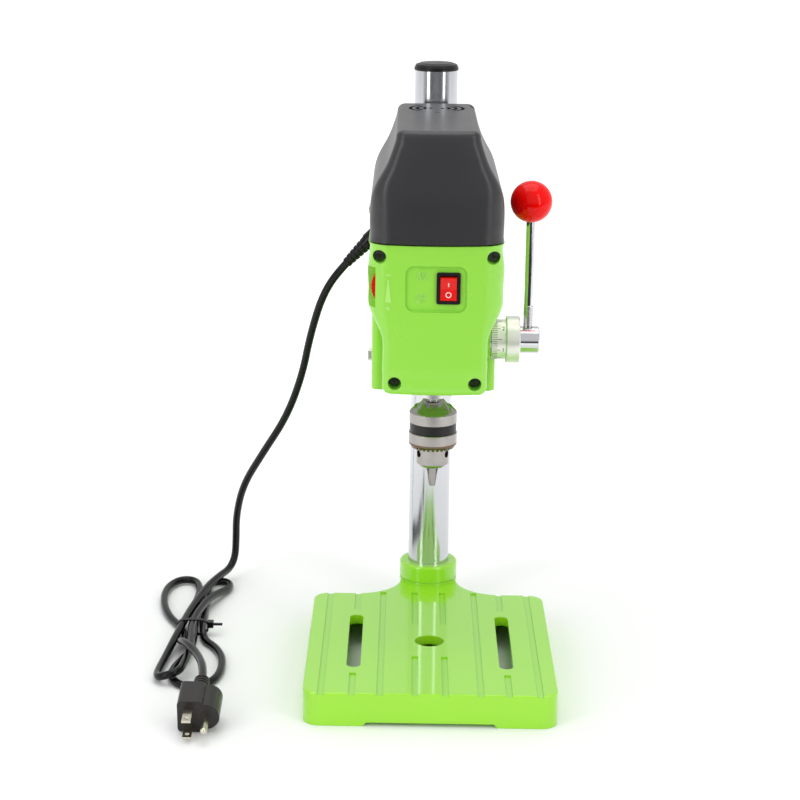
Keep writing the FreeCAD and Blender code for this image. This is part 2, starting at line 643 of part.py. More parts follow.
def pulley_bearings():
    return Part.makeCompound([ball_bearing(QUILL_R, 7.5, 7, (0, 0, z)) for z in (312.5, 320.5)])


def motor_frame():
    """Stator pack between two end bars that hold the bearings, open at both ends for cooling air."""
    pack = ring(MOTOR_R, MOTOR_R - 6, 60, (0, MOTOR_Y, 240))
    posts = fused([box(x - 3, x + 3, MOTOR_Y - 4, MOTOR_Y + 4, 228, 320) for x in (-25, 25)])
    bars = fused([box(-MOTOR_R, MOTOR_R, MOTOR_Y - 5, MOTOR_Y + 5, z, z + 4) for z in (228, 316)])
    seats = fused([rod(9, 8, (0, MOTOR_Y, z)) for z in (226, 314)])
    foot = box(-HOUSING_HALF_W + 4.2, -24, MOTOR_BOLT_Y - 6, MOTOR_BOLT_Y + 6, 212, 232)
    solid = fused([pack, posts, bars, seats, foot])
    solid = solid.cut(rod(7, 7, (0, MOTOR_Y, 228)))
    solid = solid.cut(rod(7, 7.1, (0, MOTOR_Y, 313)))
    solid = solid.cut(rod(4, 120, (0, MOTOR_Y, 225)))
    return solid.cut(rod(3.0, 10, (-HOUSING_HALF_W, MOTOR_BOLT_Y, MOTOR_BOLT_Z), X))


def motor_bearings():
    return Part.makeCompound([ball_bearing(7, MOTOR_SHAFT_R, 5, (0, MOTOR_Y, z)) for z in (229.5, 313.8)])


def brush_holders():
    """Two carbon brushes in their holders either side of the commutator."""
    holders = []
    for side in (-1, 1):
        outer = side * 21.5
        inner = side * 9.4
        holders.append(box(min(outer, inner), max(outer, inner), MOTOR_Y - 4, MOTOR_Y + 4, 302, 311))
    return Part.makeCompound(holders)


def rotor():
    """Shaft, armature pack and commutator turned as one."""
    shaft = rod(MOTOR_SHAFT_R, 146, (0, MOTOR_Y, 228))
    armature = rod(21.2, 46, (0, MOTOR_Y, 246))
    for i in range(12):
        slot = box(19.0, 22, -1.2, 1.2, 240, 300)
        slot.rotate(V(0, 0, 0), Z, 30 * i)
        slot.translate(V(0, MOTOR_Y, 0))
        armature = armature.cut(slot)
    windings = fused([rod(17, 4, (0, MOTOR_Y, z)) for z in (242, 292)])
    commutator = rod(9.0, 11, (0, MOTOR_Y, 300.5))
    return fused([shaft, armature, windings, commutator])


def motor_pulley():
    return pulley(MOTOR_PULLEY_R, MOTOR_SHAFT_R, (0, MOTOR_Y, BELT_Z))


def motor_fan():
    """Radial fan under the vent."""
    disc = ring(22, MOTOR_SHAFT_R, 1.6, (0, MOTOR_Y, 364))
    blades = []
    for i in range(9):
        blade = box(6, 21.5, -0.7, 0.7, 365.6, 372)
        blade.rotate(V(0, 0, 0), Z, 40 * i)
        blade.translate(V(0, MOTOR_Y, 0))
        blades.append(blade)
    hub = ring(6.5, MOTOR_SHAFT_R, 8, (0, MOTOR_Y, 364))
    return fused([disc, hub] + blades)


def drive_belt():
    """Round belt on both pulleys: two arcs and two straight strands."""
    spread = SPINDLE_PULLEY_R - MOTOR_PULLEY_R
    tilt = math.asin(spread / MOTOR_Y)
    cos_t = math.cos(tilt)
    sin_t = math.sin(tilt)

    def touch(radius, centre_y, sign):
        return V(sign * radius * cos_t, centre_y + radius * sin_t, BELT_Z)

    big = SPINDLE_PULLEY_R
    small = MOTOR_PULLEY_R
    edges = [Part.Arc(touch(big, 0, 1), V(0, -big, BELT_Z), touch(big, 0, -1)).toShape(),
             Part.LineSegment(touch(big, 0, -1), touch(small, MOTOR_Y, -1)).toShape(),
             Part.Arc(touch(small, MOTOR_Y, -1), V(0, MOTOR_Y + small, BELT_Z),
                      touch(small, MOTOR_Y, 1)).toShape(),
             Part.LineSegment(touch(small, MOTOR_Y, 1), touch(big, 0, 1)).toShape()]
    path = Part.Wire(edges)
    start = touch(big, 0, 1)
    profile = Part.Wire(Part.makeCircle(BELT_R, start, V(-sin_t, cos_t, 0)))
    return path.makePipeShell([profile], True, False)


# Feed lever, depth dial and speed control

def feed_shaft():
    """Pinion and its shaft in one piece, with the hub's seat at the right end."""
    shaft = fused([rod(6.0, 60, (-33, FEED_Y, FEED_Z), X),
                   rod(FEED_SEAT_R, HUB_X - 0.2 - 9.6, (9.6, FEED_Y, FEED_Z), X)])
    teeth = [rod(8.0, 18.0, (-9.0, FEED_Y, FEED_Z), X)]
    for i in range(PINION_TEETH):
        tooth = prism([(-9.0, -7.5, -0.85), (-9.0, -7.5, 0.85), (-9.0, -9.0, 0.58), (-9.0, -9.8, 0.32),
                       (-9.0, -9.8, -0.32), (-9.0, -9.0, -0.58)], V(18.0, 0, 0))
        tooth.rotate(V(0, 0, 0), X, 360 / PINION_TEETH * i)
        tooth.translate(V(0, FEED_Y, FEED_Z))
        teeth.append(tooth)
    return fused([shaft] + teeth)


def feed_hub():
    """Steel hub on the end of the feed shaft, drilled across for the lever."""
    solid = rod(9.7, HUB_L, (HUB_X, FEED_Y, FEED_Z), X)
    solid = solid.makeChamfer(0.8, [e for e in solid.Edges if e.BoundBox.XMin > HUB_X + HUB_L - 0.1])
    return solid.cut(rod(LEVER_FOOT_R, 9, (LEVER_X, FEED_Y, FEED_Z + 2)))


def lever_rod():
    """Steel rod with a short threaded foot in the hub."""
    foot = rod(LEVER_FOOT_R, 9.6, (LEVER_X, FEED_Y, FEED_Z + 2))
    stem = turned([(0, 9.9), (3.4, 9.9), (3.4, 24.5), (LEVER_R, 25.2), (LEVER_R, 92), (0, 92)],
                  (LEVER_X, FEED_Y, FEED_Z))
    thread_pitch = 1.1
    for i in range(12):
        z = FEED_Z + 11 + i * thread_pitch
        stem = stem.cut(ring(4.0, 3.05, 0.45, (LEVER_X, FEED_Y, z)))
    return fused([foot, stem])


def lever_knob():
    """Ball with a small flat underneath, bored for the rod."""
    ball = Part.makeSphere(BALL_R, V(LEVER_X, FEED_Y, BALL_Z))
    flat_z = BALL_Z - BALL_R + 1
    ball = ball.cut(rod(BALL_R, 10, (LEVER_X, FEED_Y, flat_z - 10)))
    return ball.cut(rod(LEVER_R, FEED_Z + 92 - flat_z + 1, (LEVER_X, FEED_Y, flat_z - 1)))


def depth_dial():
    """Graduated drum that turns on the feed shaft."""
    return ring(14.4, FEED_SEAT_R + RUNNING, 10.4, (41.0, FEED_Y, FEED_Z), X)


def dial_ring():
    """Grip ring at the outer end of the drum, with its edges broken."""
    grip = ring(16.8, FEED_SEAT_R + RUNNING, 9.8, (51.4, FEED_Y, FEED_Z), X)
    rims = [e for e in grip.Edges if e.Length > 2 * math.pi * 16]
    return grip.makeChamfer(0.5, rims)


def feed_return_spring():
    """Flat spiral spring round the left end of the feed shaft: half rings that grow each half turn."""
    strip = 0.6
    step = 0.42
    shift = step / 2
    halves = []
    for i in range(8):
        side = 1 if i % 2 == 0 else -1
        inner = 6.6 + step * i
        half = ring(inner + strip, inner, 5, (0, 0, 0))
        half = half.common(box(-30, 30, min(0, side * 30), max(0, side * 30), -1, 10))
        half.translate(V(side * shift, 0, 0))
        halves.append(half)
    spiral = fused(halves)
    spiral.rotate(V(0, 0, 0), Y, 90)
    spiral.translate(V(-29.5, FEED_Y, FEED_Z))
    return spiral


def speed_wheel():
    """Thumbwheel of the speed control, milled round its rim."""
    x, y, z = WHEEL_AT
    wheel = rod(WHEEL_R, 6, (x, y - 3, z), Y)
    for i in range(36):
        flute = rod(0.6, 8, (WHEEL_R + 0.15, -4, 0), Y)
        flute.rotate(V(0, 0, 0), Y, 10 * i)
        flute.translate(V(x, y, z))
        wheel = wheel.cut(flute)
    return wheel.cut(rod(WHEEL_SHAFT_R + RUNNING, 10, (x, y - 5, z), Y))


def speed_board():
    """Circuit board of the speed control with its potentiometer, power switch and capacitor."""
    x, y, z = WHEEL_AT
    board = box(-38.6, -16, y + 9.2, y + 10.8, 284, 313)
    pot = rod(8.5, 5.5, (x, y + 3.7, z), Y)
    shaft = rod(WHEEL_SHAFT_R, 9, (x, y - 4.5, z), Y)
    heat_sink = box(-38, -24, y + 10.8, y + 20, 285.5, 291.5)
    capacitor = rod(4.0, 11, (-31, y + 10.8, 300), Y)
    return fused([board, pot, shaft, heat_sink, capacitor])


def rocker_switch():
    """Switch housing: bezel on the panel and a body behind it, with the rocker's well in front."""
    face = PANEL_FACE
    bezel = block(SWITCH_X - 8.2, SWITCH_X + 8.2, face - 1.8, face,
                  ROCKER_Z - 11, ROCKER_Z + 11, 1.5, Y)
    body = box(SWITCH_X - 6.6, SWITCH_X + 6.6, face, face + 16, ROCKER_Z - 9.6, ROCKER_Z + 9.6)
    tabs = fused([box(SWITCH_X - 3, SWITCH_X + 3, face + 16, face + 20, z - 0.4, z + 0.4)
                  for z in (ROCKER_Z - 5, ROCKER_Z + 5)])
    solid = fused([bezel, body, tabs])
    well = box(SWITCH_X - 5.9, SWITCH_X + 5.9, face - 3, face + 7.4, ROCKER_Z - 8.9, ROCKER_Z + 8.9)
    return solid.cut(well).cut(rod(1.05, 16, (SWITCH_X - 8, ROCKER_PIVOT_Y, ROCKER_Z), X))


def rocker():
    """Two flats that meet over the pivot pins, at rest pressed in at O, so the upper flat stands out."""
    side = [(-4.0, 8.2), (-3.3, 0), (-4.0, -8.2), (1.5, -8.0), (3.6, -2.2), (3.6, 2.2), (1.5, 8.0)]
    body = prism([(SWITCH_X - 5.6, y, z) for y, z in side], V(11.2, 0, 0))
    body = rounded(body, 0.4, lambda e: along(e, X) and e.BoundBox.YMax < -3.5)
    body = body.fuse(rod(1.0, 12.8, (SWITCH_X - 6.4, 0, 0), X))
    body.rotate(V(0, 0, 0), X, ROCKER_HALF_SWING)
    body.translate(V(0, ROCKER_PIVOT_Y, ROCKER_Z))
    return body


# Cord

def grommet_stem():
    """Part of the strain relief that sits in the wall of the housing."""
    back = CORD_EXIT_RUN * -1
    return rod(CORD_R + 1.8, 14, CORD_EXIT - back.normalize() * 0.5, back)


def grommet():
    """Strain relief bush in the left wall of the housing, its collar cut flat against the wall."""
    back = (CORD_EXIT_RUN * -1).normalize()
    wall = box(-HOUSING_HALF_W, 0, 60, 150, 270, 327)
    collar = rod(CORD_R + 3.2, 12, CORD_EXIT, back).cut(wall)
    bush = fused([collar, grommet_stem().common(box(-HOUSING_HALF_W - 1, -39, 60, 150, 270, 330))])
    return bush.cut(rod(CORD_R, 40, CORD_EXIT - back * 5, back))


def corner_arc(before, point, after):
    """Start, middle and end of the arc that rounds one point of a route."""
    into = (point - before)
    out = (after - point)
    half_turn = into.getAngle(out) / 2
    trim = 0.45 * min(into.Length, out.Length)
    radius = trim / math.tan(half_turn)
    start = point - into.normalize() * trim
    end = point + out.normalize() * trim
    bisector = (start + end) * 0.5 - point
    to_centre = radius / math.cos(half_turn)
    middle = point + bisector.normalize() * (to_centre - radius)
    return start, middle, end, radius


def cord_tube(route):
    """Tube along straight runs joined by tangent arcs."""
    points = route
    edges = []
    here = points[0]
    for i in range(1, len(points) - 1):
        start, middle, end, radius = corner_arc(points[i - 1], points[i], points[i + 1])
        print("cord bend %d radius %.1f mm" % (i, radius))
        edges.append(Part.LineSegment(here, start).toShape())
        edges.append(Part.Arc(start, middle, end).toShape())
        here = end
    edges.append(Part.LineSegment(here, points[-1]).toShape())
    path = Part.Wire(edges)
    first = (points[1] - points[0]).normalize()
    profile = Part.Wire(Part.makeCircle(CORD_R, points[0], first))
    tube = path.makePipeShell([profile], True, False)
    print("cord path %.0f mm, volume ratio %.4f"
          % (path.Length, tube.Volume / (math.pi * CORD_R ** 2 * path.Length)))
    return tube


def hank():
    """Outer shape of the tied bundle: a wide loop at each end and a waist under the tie."""
    upper = fused([rod(23, HANK_H, (-195, 148, 0)), rod(17, HANK_H, (-177, 155, 0)),
                   box(-206, -164, 100, 150, 0, HANK_H)])
    waist = box(*WAIST, 15, 110, 0, HANK_H)
    lower = fused([rod(25, HANK_H, (-176, -17, 0)), rod(14, HANK_H, (-186, 8, 0)),
                   box(-198, -154, -17, 22, 0, HANK_H)])
    return fused([upper, waist, lower])


def cable_tie():
    """Thin strap round the waist of the bundle, with its head and cut tail."""
    strap_t = 1.2
    left, right = WAIST
    strap = box(left - strap_t, right + strap_t, TIE_Y - 2, TIE_Y + 2, 0.05, HANK_H + strap_t)
    strap = strap.cut(box(left, right, TIE_Y - 5, TIE_Y + 5, -1, HANK_H))
    head_x = right + strap_t
    head = box(head_x, head_x + 4, TIE_Y - 3, TIE_Y + 3, 8, 13)
    tail = box(head_x + 4, head_x + 12, TIE_Y - 1.6, TIE_Y + 1.6, 9.8, 11.2)
    return fused([strap, head, tail])


def placed_plug(shape):
    """From the plug's own frame (axis along -Y, cord end at the origin) to where it lies."""
    shape.rotate(V(0, 0, 0), X, PLUG_TILT)
    shape.translate(PLUG_AT)
    return shape


def plug_body():
    """Moulded plug: ribbed neck, shoulder, a block for the blades and a round bulge for the earth pin."""
    neck_rings = fused([rod(4.6, 14, (0, 0, 0), Y * -1)]
                       + [rod(5.6, 1.6, (0, -2 - 3.2 * i, 0), Y * -1) for i in range(4)])
    shoulder = cone(5.6, 9.5, 10, (0, -13, 0), Y * -1)
    block_part = block(-12.5, 5, -49, -22, -12, 12, 3, Y)
    bulge = rod(9.5, 27, (7, -22, 0), Y * -1)
    solid = fused([neck_rings, shoulder, block_part, bulge])
    return placed_plug(solid.cut(rod(CORD_R, 4, (0, 1, 0), Y * -1)))


def plug_pins():
    """Two flat blades, one above the other, and a round earth pin beside them."""
    pins = []
    for z in (-BLADE_Z, BLADE_Z):
        blade = box(-7.7, -1.4, -66, -49, z - 0.75, z + 0.75)
        pins.append(blade.cut(rod(1.6, 6, (-4.5, -62, z - 3))))
    ground = rod(2.4, 17.5, (7.3, -49, 0), Y * -1)
    tip = Part.makeSphere(2.4, V(7.3, -66.5, 0))
    pins.append(fused([ground, tip]))
    return placed_plug(Part.makeCompound(pins))


def cord_tail():
    """Short straight stretch from the bundle to the plug."""
    return placed_plug(rod(CORD_R, 28, (0, 25, 0), Y * -1))


def main():
    os.makedirs("parts", exist_ok=True)
    save("base", base())
    save("base_set_screw", base_set_screw())
    save("column", column())
    save("column_cap", column_cap())
    save("head_casting", head_casting())
    save("front_shell", front_shell())
    save("top_cover", top_cover())
    save("shell_screws", shell_screws())
    save("cover_screws", cover_screws())
    save("clamp_bolt", clamp_bolt())
    save("head_lock_bolt", head_lock_bolt())
    save("motor_bolt", motor_bolt())
    save("quill", quill())
    save("quill_bearings", quill_bearings())
    save("spindle", spindle())
    save("chuck_body", chuck_body())
    save("chuck_band", chuck_band())
    save("chuck_sleeve", chuck_sleeve())
    for number, angle in enumerate(JAW_ANGLES):
        save("chuck_jaw_%d" % (number + 1), chuck_jaw(angle))
    save("spindle_pulley", spindle_pulley())
    save("pulley_bearings", pulley_bearings())
    save("motor_frame", motor_frame())
    save("motor_bearings", motor_bearings())
    save("brush_holders", brush_holders())
    save("rotor", rotor())
    save("motor_pulley", motor_pulley())
    save("motor_fan", motor_fan())
    save("drive_belt", drive_belt())
    save("feed_shaft", feed_shaft())
    save("feed_return_spring", feed_return_spring())
    save("feed_hub", feed_hub())
    save("lever_rod", lever_rod())
    save("lever_knob", lever_knob())
    save("depth_dial", depth_dial())
    save("dial_ring", dial_ring())
    save("speed_wheel", speed_wheel())
    save("speed_board", speed_board())
    save("rocker_switch", rocker_switch())
    save("rocker", rocker())
    save("cord_grommet", grommet())
    tube = cord_tube(CORD_ROUTE)
    tail = cord_tail()
    save("cord_tube", tube)
    save("cord_tail", tail)
    save("cord_hank", hank().cut(tube).cut(tail))
    save("cable_tie", cable_tie())
    save("plug_body", plug_body())
    save("plug_pins", plug_pins())


main()
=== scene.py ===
"""Bench drill press: finishes, cord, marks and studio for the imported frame. Lengths are in metres."""
import math

import bmesh
import bpy
from mathutils import Matrix, Vector


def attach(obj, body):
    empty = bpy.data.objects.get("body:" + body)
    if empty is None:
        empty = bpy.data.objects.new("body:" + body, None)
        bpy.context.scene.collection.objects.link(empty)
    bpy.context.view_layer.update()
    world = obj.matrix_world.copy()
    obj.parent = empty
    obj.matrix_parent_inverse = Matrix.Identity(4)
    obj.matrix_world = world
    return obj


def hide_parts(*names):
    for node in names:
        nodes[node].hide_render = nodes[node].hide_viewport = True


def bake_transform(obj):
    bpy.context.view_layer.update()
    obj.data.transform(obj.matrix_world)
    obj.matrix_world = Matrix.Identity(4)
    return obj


MM = 0.001

# Camera
CAMERA_AT = Vector((-0.01969, -1.39281, 0.58730))
CAMERA_YAW = -1.144
CAMERA_PITCH = 15.234
CAMERA_ROLL = 0.47
CAMERA_LENS = 90.99
CAMERA_SENSOR = 36
CAMERA_SHIFT = 0.0414
CAMERA_REACH = 50

# Studio
FLOOR_CORNERS = [(-4, -0.75, 0), (4, -0.75, 0), (4, 6, 0), (-4, 6, 0)]
FLOOR_COLOUR = (0.93, 0.93, 0.93, 1)
FLOOR_ROUGH = 0.7
FLOOR_SPECULAR = 0.1
GLOW_COLOUR = (1, 1, 1, 1)
GLOW_FROM = 0.25
GLOW_TO = 0.9
GLOW = 0.4
# Name, place, target, width, height and power
SOFTBOXES = [("left", (-1.15, -1.1, 0.8), (0, 0, 0.3), 0.4, 1.7, 7),
             ("right", (1.1, -1.1, 0.8), (0, 0, 0.3), 0.35, 1.7, 5.5),
             ("top", (0, 0.2, 1.9), (0, 0.05, 0), 1.6, 1.6, 13.5)]
ROOM_PALE = (0.92, 0.92, 0.93, 1)
ROOM_DARK = (0.05, 0.05, 0.052, 1)
ROOM_STRENGTH = 0.8
DARK_FRONT = (-0.15, -0.75)
DARK_LOW = (0.14, -0.2)
BACKDROP_COLOUR = (1, 1, 1, 1)
BACKDROP_STRENGTH = 1.1

# Depth dial
FEED_Y = 22 * MM
FEED_Z = 248.5 * MM
DRUM_R = 14.4 * MM
DRUM_LEFT = 41.3 * MM
RACK_PITCH_R = 9.0 * MM
MARK_STEP = DRUM_R / RACK_PITCH_R * MM
MARK_LIFT = 0.08 * MM
FACING_MARK = 15
FACING_ARC = 3.2 * MM
TICK_COUNT = 52
TICK_HALF_W = 0.17 * MM
TICK_AT_ONE = 3.7 * MM
TICK_AT_FIVE = 7.0 * MM
TICK_AT_TEN = 5.8 * MM
NUMBER_COUNT = 6
NUMBER_SIZE = 4.4 * MM
NUMBER_X = 7.9 * MM

# Words of the switch panel
PANEL_FLOOR_Y = -41.2 * MM
WORD_X = -10.3 * MM
WORD_Z = {"ON": 306.6 * MM, "OFF": 291.4 * MM}
WORD_SIZE = 7.4 * MM
WORD_DEPTH = 0.3 * MM
WORD_PROUD = 0.12 * MM
WORD_STRETCH = (0.55, 1.25, 1, 1)
LETTER_STEPS = 4

# Speed icon
ICON_X = -32.7 * MM
MINUS_Z = 307.5 * MM
PLUS_Z = 284.4 * MM
SIGN_HALF_THICK = 0.55 * MM
SIGN_HALF_LONG = 1.9 * MM
WEDGE_FOOT = (288.2 * MM, 2.1 * MM)
WEDGE_TIP = (304.4 * MM, 0.5 * MM)
ICON_PROUD = 0.3 * MM
UPRIGHT_PROUD = 0.32 * MM
PLATE_STEPS = 6
PLATE_SUNK = 0.3 * MM
PLATE_WELD = 0.01 * MM
PROBE_Y = -0.3

# Rocker marks
ROCKER_X = 8.4 * MM
ROCKER_Z = 298.9 * MM
ROCKER_PROUD = 0.04 * MM
BAR_HALF_W = 0.35 * MM
BAR_FOOT = 1.4 * MM
BAR_HEAD = 4.2 * MM
RING_DOWN = 4.4 * MM
RING_RADII = (1.45 * MM, 2.05 * MM)
RING_SIDES = 32

# Cord, from the housing to the plug, with its bundle
CORD_D = 6 * MM
CORD_STEPS = 10
CORD_ROUND = 4
CORD_DOWN = [(-49.5, 105, 303), (-65, 107, 287.5), (-83, 115, 263), (-94, 126, 226), (-101, 136, 190),
             (-114, 147, 153), (-134, 160, 119), (-151, 174, 88), (-158, 187, 58), (-159, 194, 34)]
CORD_IN = [(-160, 195, 18), (-164, 188, 10), (-171, 167, 11), (-178, 143, 11), (-183, 117, 10),
           (-187, 91, 9.5), (-189.5, 66, 9.5), (-193.5, 34, 7), (-197, 6, 4), (-199, -14, 4),
           (-198.5, -27.5, 4.5)]
CORD_BACK = [(-193.5, -33, 7), (-186.5, -33, 9.5), (-181.5, -28, 10), (-180.5, -19, 10), (-179, -4, 10),
             (-178.5, 12, 10), (-179, 28, 10), (-181, 46, 10), (-182.5, 66, 9.5), (-180, 91, 10),
             (-175, 120, 9), (-168, 143, 6), (-162, 158, 3.5), (-162, 170.5, 3)]
CORD_FLOOR = [(-167, 176.5, 3), (-174, 176.5, 3), (-179, 171.5, 3), (-179.5, 163, 3), (-178, 140, 3),
              (-176, 98, 3), (-174, 66, 3), (-171, 47, 3), (-161, 33, 3), (-154, 13, 3), (-153, -12, 3),
              (-157, -31, 3), (-168, -42, 3), (-180, -40, 3), (-188, -27, 3), (-189, -12, 3), (-185, 5, 3),
              (-180, 22, 3), (-179.5, 44, 3), (-181, 68, 3), (-184, 94, 3)]
CORD_LOOP = [(-186, 122, 4), (-184.5, 146, 4), (-187, 164, 4), (-191, 174, 4), (-199, 177.5, 4),
             (-207, 172, 4), (-212, 158, 4), (-213, 140, 4), (-210, 116, 3.5), (-203, 94, 3), (-194, 77, 3),
             (-187.5, 60, 3), (-187, 40, 4)]
CORD_OUT = [(-187, 24, 12), (-180, 6, 17.5), (-169, -18, 18), (-162, -48, 20.5), (-161, -67, 19.5)]

# Strain relief
RELIEF_LENGTH = 24 * MM
RELIEF_R = 5.6 * MM
RELIEF_TAPER = 1.9 * MM
RELIEF_COLLAR = 3 * MM
RELIEF_STEPS = 12
RELIEF_SIDES = 24
RIB_PITCH = 4.0 * MM
RIB_GROOVE = 1.3 * MM
RIB_DEPTH = 0.55 * MM

# Cable tie; the strap's section and the two blocks are in millimetres, from the tie's own place in Y
TIE_X = -182.0 * MM
TIE_Y = 66 * MM
TIE_HALF_W = 12.4 * MM
TIE_TOP = 13.2 * MM
TIE_GAP = 0.1 * MM
TIE_SIDES = 40
TIE_SQUARENESS = 0.62
TIE_EDGE = 0.25 * MM
TIE_EDGE_STEPS = 2
STRAP_SECTION = ((-1.8, 1.1), (-1.8, 0.1), (-1.5, 0.0), (1.5, 0.0), (1.8, 0.1), (1.8, 1.1))
TIE_HEAD = ((-170.4, -3.0, 6.6), (-165.8, 3.0, 11.4))
TIE_TAIL = ((-166.2, -1.7, 8.3), (-159.0, 1.7, 9.5))
BLOCK_FACES = ((0, 1, 3, 2), (4, 6, 7, 5), (0, 4, 5, 1), (2, 3, 7, 6), (0, 2, 6, 4), (1, 5, 7, 3))

NOISE_SPAN = (0.15, 0.85)
PATCH_DETAIL = 3
GLOSS_DETAIL = 4
GRAIN_DETAIL = 2
LEAST_ROUGH = 0.01
COAT_ROUGH = 0.06
FOOT_BLUR = 0.3
EDGE_SAMPLES = 4
FINISHES = {
    "green_paint": dict(colour=(152, 223, 24), rough=0.3, patch=0.015, patch_size=60, rough_by=0.02,
                        rough_size=30, grain=0.012, grain_size=4, edge=0.8, coat=0.9),
    "green_casting": dict(colour=(146, 219, 52), rough=0.26, patch=0.015, patch_size=40, rough_by=0.03,
                          rough_size=20, grain=0.015, grain_size=10, edge=0.6, coat=0.15),
    "green_plastic": dict(colour=(150, 221, 74), rough=0.27, patch=0.012, patch_size=60, rough_by=0.012,
                          rough_size=40, grain=0.002, grain_size=0.9, edge=0.5),
    # painted highlight: a paler copy of green_plastic for the raised words and icon, standing in for the
    # light their relief catches
    "painted_highlight_green": dict(colour=(174, 232, 114), rough=0.3, patch=0.012, patch_size=60, rough_by=0.012,
                         grain=0.003, edge=0.3),
    "black_cover": dict(colour=(44, 44, 46), rough=0.34, patch=0.03, patch_size=50, rough_by=0.02,
                        rough_size=30, grain=0.003, grain_size=0.7, edge=0.6),
    "black_plastic": dict(colour=(20, 20, 21), rough=0.33, patch=0.12, patch_size=12, grain=0.006,
                          grain_size=0.6, specular=0.35),
    "dark_steel": dict(colour=(92, 90, 88), rough=0.36, metallic=1.0, patch=0.2, patch_size=5, grain=0.01),
    "zinc_steel": dict(colour=(196, 196, 190), rough=0.26, metallic=1.0, patch=0.1, patch_size=4,
                       grain=0.006),
    "ground_steel": dict(colour=(205, 204, 202), rough=0.16, metallic=1.0, patch=0.05, patch_size=10,
                         grain=0.003, grain_size=2, stretch=(1, 1, 14), edge=0.2),
    "chuck_steel": dict(colour=(162, 158, 154), rough=0.15, metallic=1.0, patch=0.08, patch_size=7,
                        rough_by=0.07, rough_size=3, grain=0.004, grain_size=3, stretch=(1, 1, 16),
                        edge=0.25),
    # the sleeve's foot is the oily brown of the teeth, made darker as painted shade for the gaps between
    # them
    "sleeve_steel": dict(colour=(162, 158, 154), rough=0.17, metallic=1.0, patch=0.08, patch_size=7,
                         rough_by=0.07, rough_size=3, grain=0.004, grain_size=3, stretch=(1, 1, 16),
                         edge=0.25, foot=((112, 92, 76), 178.6)),
    "chrome_tube": dict(colour=(208, 209, 213), rough=0.15, metallic=1.0, patch=0.02, patch_size=30,
                        rough_by=0.02, rough_size=9, grain=0.002, grain_size=14),
    "chrome_parts": dict(colour=(214, 214, 216), rough=0.09, metallic=1.0, patch=0.04, patch_size=9,
                         rough_by=0.04, grain=0.002, grain_size=3, edge=0.3),
    "pulley_aluminium": dict(colour=(198, 200, 203), rough=0.3, metallic=1.0, patch=0.06, patch_size=8,
                             grain=0.005, grain_size=2, stretch=(1, 1, 12)),
    "satin_aluminium": dict(colour=(236, 236, 228), rough=0.42, metallic=1.0, patch=0.04, patch_size=10,
                            rough_size=3, grain=0.006, grain_size=2.5, stretch=(14, 1, 1), edge=0.35),
    "motor_steel": dict(colour=(150, 152, 156), rough=0.4, metallic=1.0, patch=0.12, patch_size=14,
                        grain=0.01, stretch=(1, 1, 8)),
    "brass": dict(colour=(206, 170, 92), rough=0.25, metallic=1.0, patch=0.1, patch_size=5, grain=0.004),
    "belt_rubber": dict(colour=(38, 36, 35), rough=0.6, patch=0.2, patch_size=6, grain=0.03,
                        grain_size=0.5),
    "red_ball": dict(colour=(247, 6, 3), rough=0.1, patch=0.03, patch_size=18, rough_by=0.03, grain=0.003,
                     grain_size=5, specular=0.2),
    "red_plastic": dict(colour=(226, 20, 14), rough=0.28, patch=0.05, patch_size=8, grain=0.004,
                        grain_size=0.6, specular=0.3),
    "board_laminate": dict(colour=(44, 96, 60), rough=0.4, patch=0.15, patch_size=3, grain=0.01),
    "cord_rubber": dict(colour=(8, 8, 8), rough=0.2, patch=0.15, patch_size=9, rough_by=0.08, grain=0.012,
                        grain_size=1.6, specular=0.27),
    "plug_vinyl": dict(colour=(26, 21, 19), rough=0.34, patch=0.12, patch_size=9, grain=0.014, edge=0.7),
    "plug_metal": dict(colour=(214, 208, 190), rough=0.2, metallic=1.0, patch=0.06, patch_size=4,
                       grain=0.003),
    "mark_black": dict(colour=(18, 18, 18), rough=0.7, patch=0.2, patch_size=2, grain=0.002,
                       specular=0.15),
    "mark_white": dict(colour=(236, 232, 226), rough=0.4, patch=0.04, patch_size=2, grain=0.002),
}
FINISHED_NODES = {
    "green_paint": "base",
    "green_casting": "head_casting",
    "green_plastic": "front_shell",
    "black_cover": "top_cover",
    "black_plastic": "column_cap chuck_band motor_fan rocker_switch cable_tie",
    "dark_steel": "shell_screws base_set_screw",
    "zinc_steel": "clamp_bolt head_lock_bolt motor_bolt cover_screws",
    "ground_steel": "quill spindle pulley_bearings quill_bearings motor_bearings feed_shaft",
    "chuck_steel": "chuck_body chuck_jaw_1 chuck_jaw_2 chuck_jaw_3",
    "sleeve_steel": "chuck_sleeve",
    "chrome_tube": "column",
    "chrome_parts": "feed_hub lever_rod",
    "pulley_aluminium": "spindle_pulley motor_pulley",
    "satin_aluminium": "depth_dial dial_ring",
    "motor_steel": "motor_frame rotor feed_return_spring",
    "brass": "brush_holders",
    "belt_rubber": "drive_belt",
    "red_ball": "lever_knob",
    "red_plastic": "speed_wheel rocker",
    "board_laminate": "speed_board",
    "cord_rubber": "cord_tube cord_tail cord_hank cord_grommet",
    "plug_vinyl": "plug_body",
    "plug_metal": "plug_pins",
}


# Building blocks

def add_object(name, mesh, body, material):
    obj = bpy.data.objects.new(name, mesh)
    bpy.context.scene.collection.objects.link(obj)
    obj.data.materials.append(material)
    if body:
        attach(obj, body)
    return obj


def mesh_of_shape(name, shape):
    mesh = bpy.data.meshes.new(name)
    shape.to_mesh(mesh)
    shape.free()
    return mesh


def mesh_of_curve(name, curve):
    holder = bpy.data.objects.new(name, curve)
    bpy.context.scene.collection.objects.link(holder)
    bpy.context.view_layer.update()
    seen = holder.evaluated_get(bpy.context.evaluated_depsgraph_get())
    mesh = bpy.data.meshes.new_from_object(seen)
    bpy.data.objects.remove(holder)
    return mesh


def smooth(mesh):
    for face in mesh.polygons:
        face.use_smooth = True


def turns(count):
    """Angles that share a full turn evenly."""
    return [2 * math.pi * k / count for k in range(count)]


